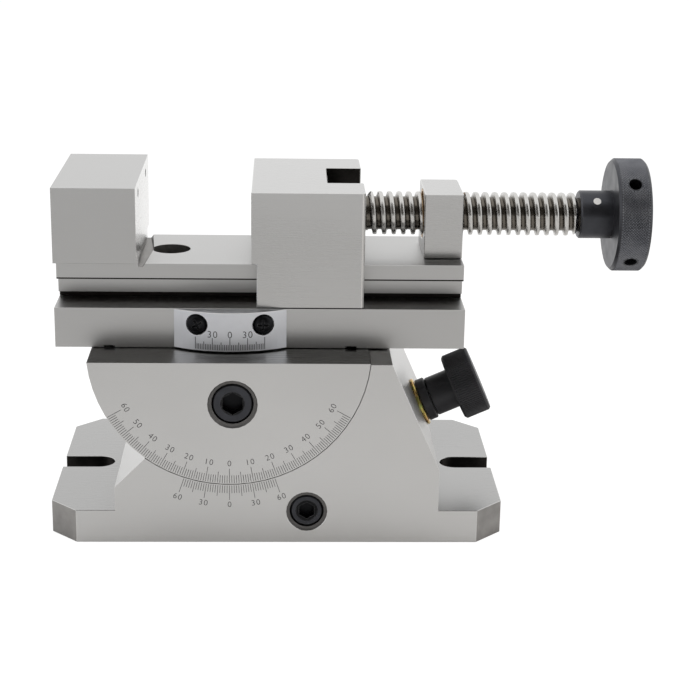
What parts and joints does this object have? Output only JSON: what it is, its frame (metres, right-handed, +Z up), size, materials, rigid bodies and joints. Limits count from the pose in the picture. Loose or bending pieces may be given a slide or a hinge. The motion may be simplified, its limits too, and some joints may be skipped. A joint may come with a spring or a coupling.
{
  "type": "tilting and swivelling precision vise",
  "caption": "Ground steel precision vise that swivels on a half-round cradle, which a worm knob tilts in its slotted base.",
  "frame": {"origin": "on the base's underside, below the crossing of the tilt axis and the swivel axis", "axes": "+X along the jaws' travel towards the handwheel, +Y from the scale side to the rear, +Z up"},
  "size_m": [0.2443, 0.11, 0.1485],
  "materials": {
    "ground_steel": "fine ground",
    "bright_steel": "turned bright",
    "black_oxide": "black oxide",
    "bronze": "turned",
    "yellow_zinc": "yellow zinc plated"
  },
  "bodies": {
    "base": {"base": "ground_steel", "tilt_lock_pad": "bronze", "worm_end_bush": "bronze", "worm_bush": "yellow_zinc"},
    "tilt_lock": {"tilt_lock_screw": "black_oxide"},
    "worm": {"worm_shaft": "bright_steel", "worm_collar": "black_oxide", "worm_knob": "black_oxide", "worm_knob_pin": "bright_steel"},
    "cradle": {"cradle": "ground_steel", "worm_wheel_sector": "bright_steel", "sector_screw_left": "black_oxide", "sector_screw_right": "black_oxide", "swivel_lock_pad": "bronze"},
    "swivel_lock": {"swivel_lock_screw": "black_oxide"},
    "vise": {"vise_body": "ground_steel", "swivel_spindle": "bright_steel", "spindle_screw_left": "black_oxide", "spindle_screw_right": "black_oxide", "nut_block": "ground_steel", "screw_nut": "bronze", "nut_block_screw_front": "black_oxide", "nut_block_screw_rear": "black_oxide", "index_plate": "ground_steel", "index_plate_screw_left": "black_oxide", "index_plate_screw_right": "black_oxide"},
    "moving_jaw": {"moving_jaw": "ground_steel", "thrust_button": "bright_steel", "keeper_front": "ground_steel", "keeper_rear": "ground_steel", "keeper_screw_front_left": "black_oxide", "keeper_screw_front_right": "black_oxide", "keeper_screw_rear_left": "black_oxide", "keeper_screw_rear_right": "black_oxide", "screw_retainer": "bright_steel", "retainer_screw_front": "black_oxide", "retainer_screw_rear": "black_oxide"},
    "clamp_screw": {"clamp_screw": "bright_steel", "handwheel": "black_oxide", "handwheel_pin": "bright_steel"}
  },
  "joints": [
    {"name": "tilt", "type": "hinge", "parent": "base", "child": "cradle", "pos_m": [0, 0, 0.0815], "axis": [0, -1, 0], "range_deg": [0, 45]},
    {"name": "swivel", "type": "hinge", "parent": "cradle", "child": "vise", "pos_m": [0, 0, 0.0766], "axis": [0, 0, 1], "range_deg": [-125, 125]},
    {"name": "screw_turn", "type": "hinge", "parent": "moving_jaw", "child": "clamp_screw", "pos_m": [0.0084, 0, 0.125], "axis": [1, 0, 0], "range_deg": [-4090, 2245]},
    {"name": "jaw_slide", "type": "slide", "parent": "vise", "child": "moving_jaw", "axis": [1, 0, 0], "range_m": [-0.0454, 0.0249]},
    {"name": "worm_turn", "type": "hinge", "parent": "base", "child": "worm", "pos_m": [0.02806, 0, 0.01846], "axis": [0.9135, 0, 0.4067], "range_deg": [-3245, 5]},
    {"name": "swivel_lock_turn", "type": "hinge", "parent": "cradle", "child": "swivel_lock", "pos_m": [0.0013, -0.055, 0.0591], "axis": [0, -1, 0], "range_deg": [0, 180]},
    {"name": "tilt_lock_turn", "type": "hinge", "parent": "base", "child": "tilt_lock", "pos_m": [0.0312, -0.055, 0.0134], "axis": [0, -1, 0], "range_deg": [0, 180]}
  ],
  "couplings": [
    {"joint": "screw_turn", "follows": "jaw_slide", "rad_per_m": 1570.8},
    {"joint": "worm_turn", "follows": "tilt", "ratio": -72}
  ]
}
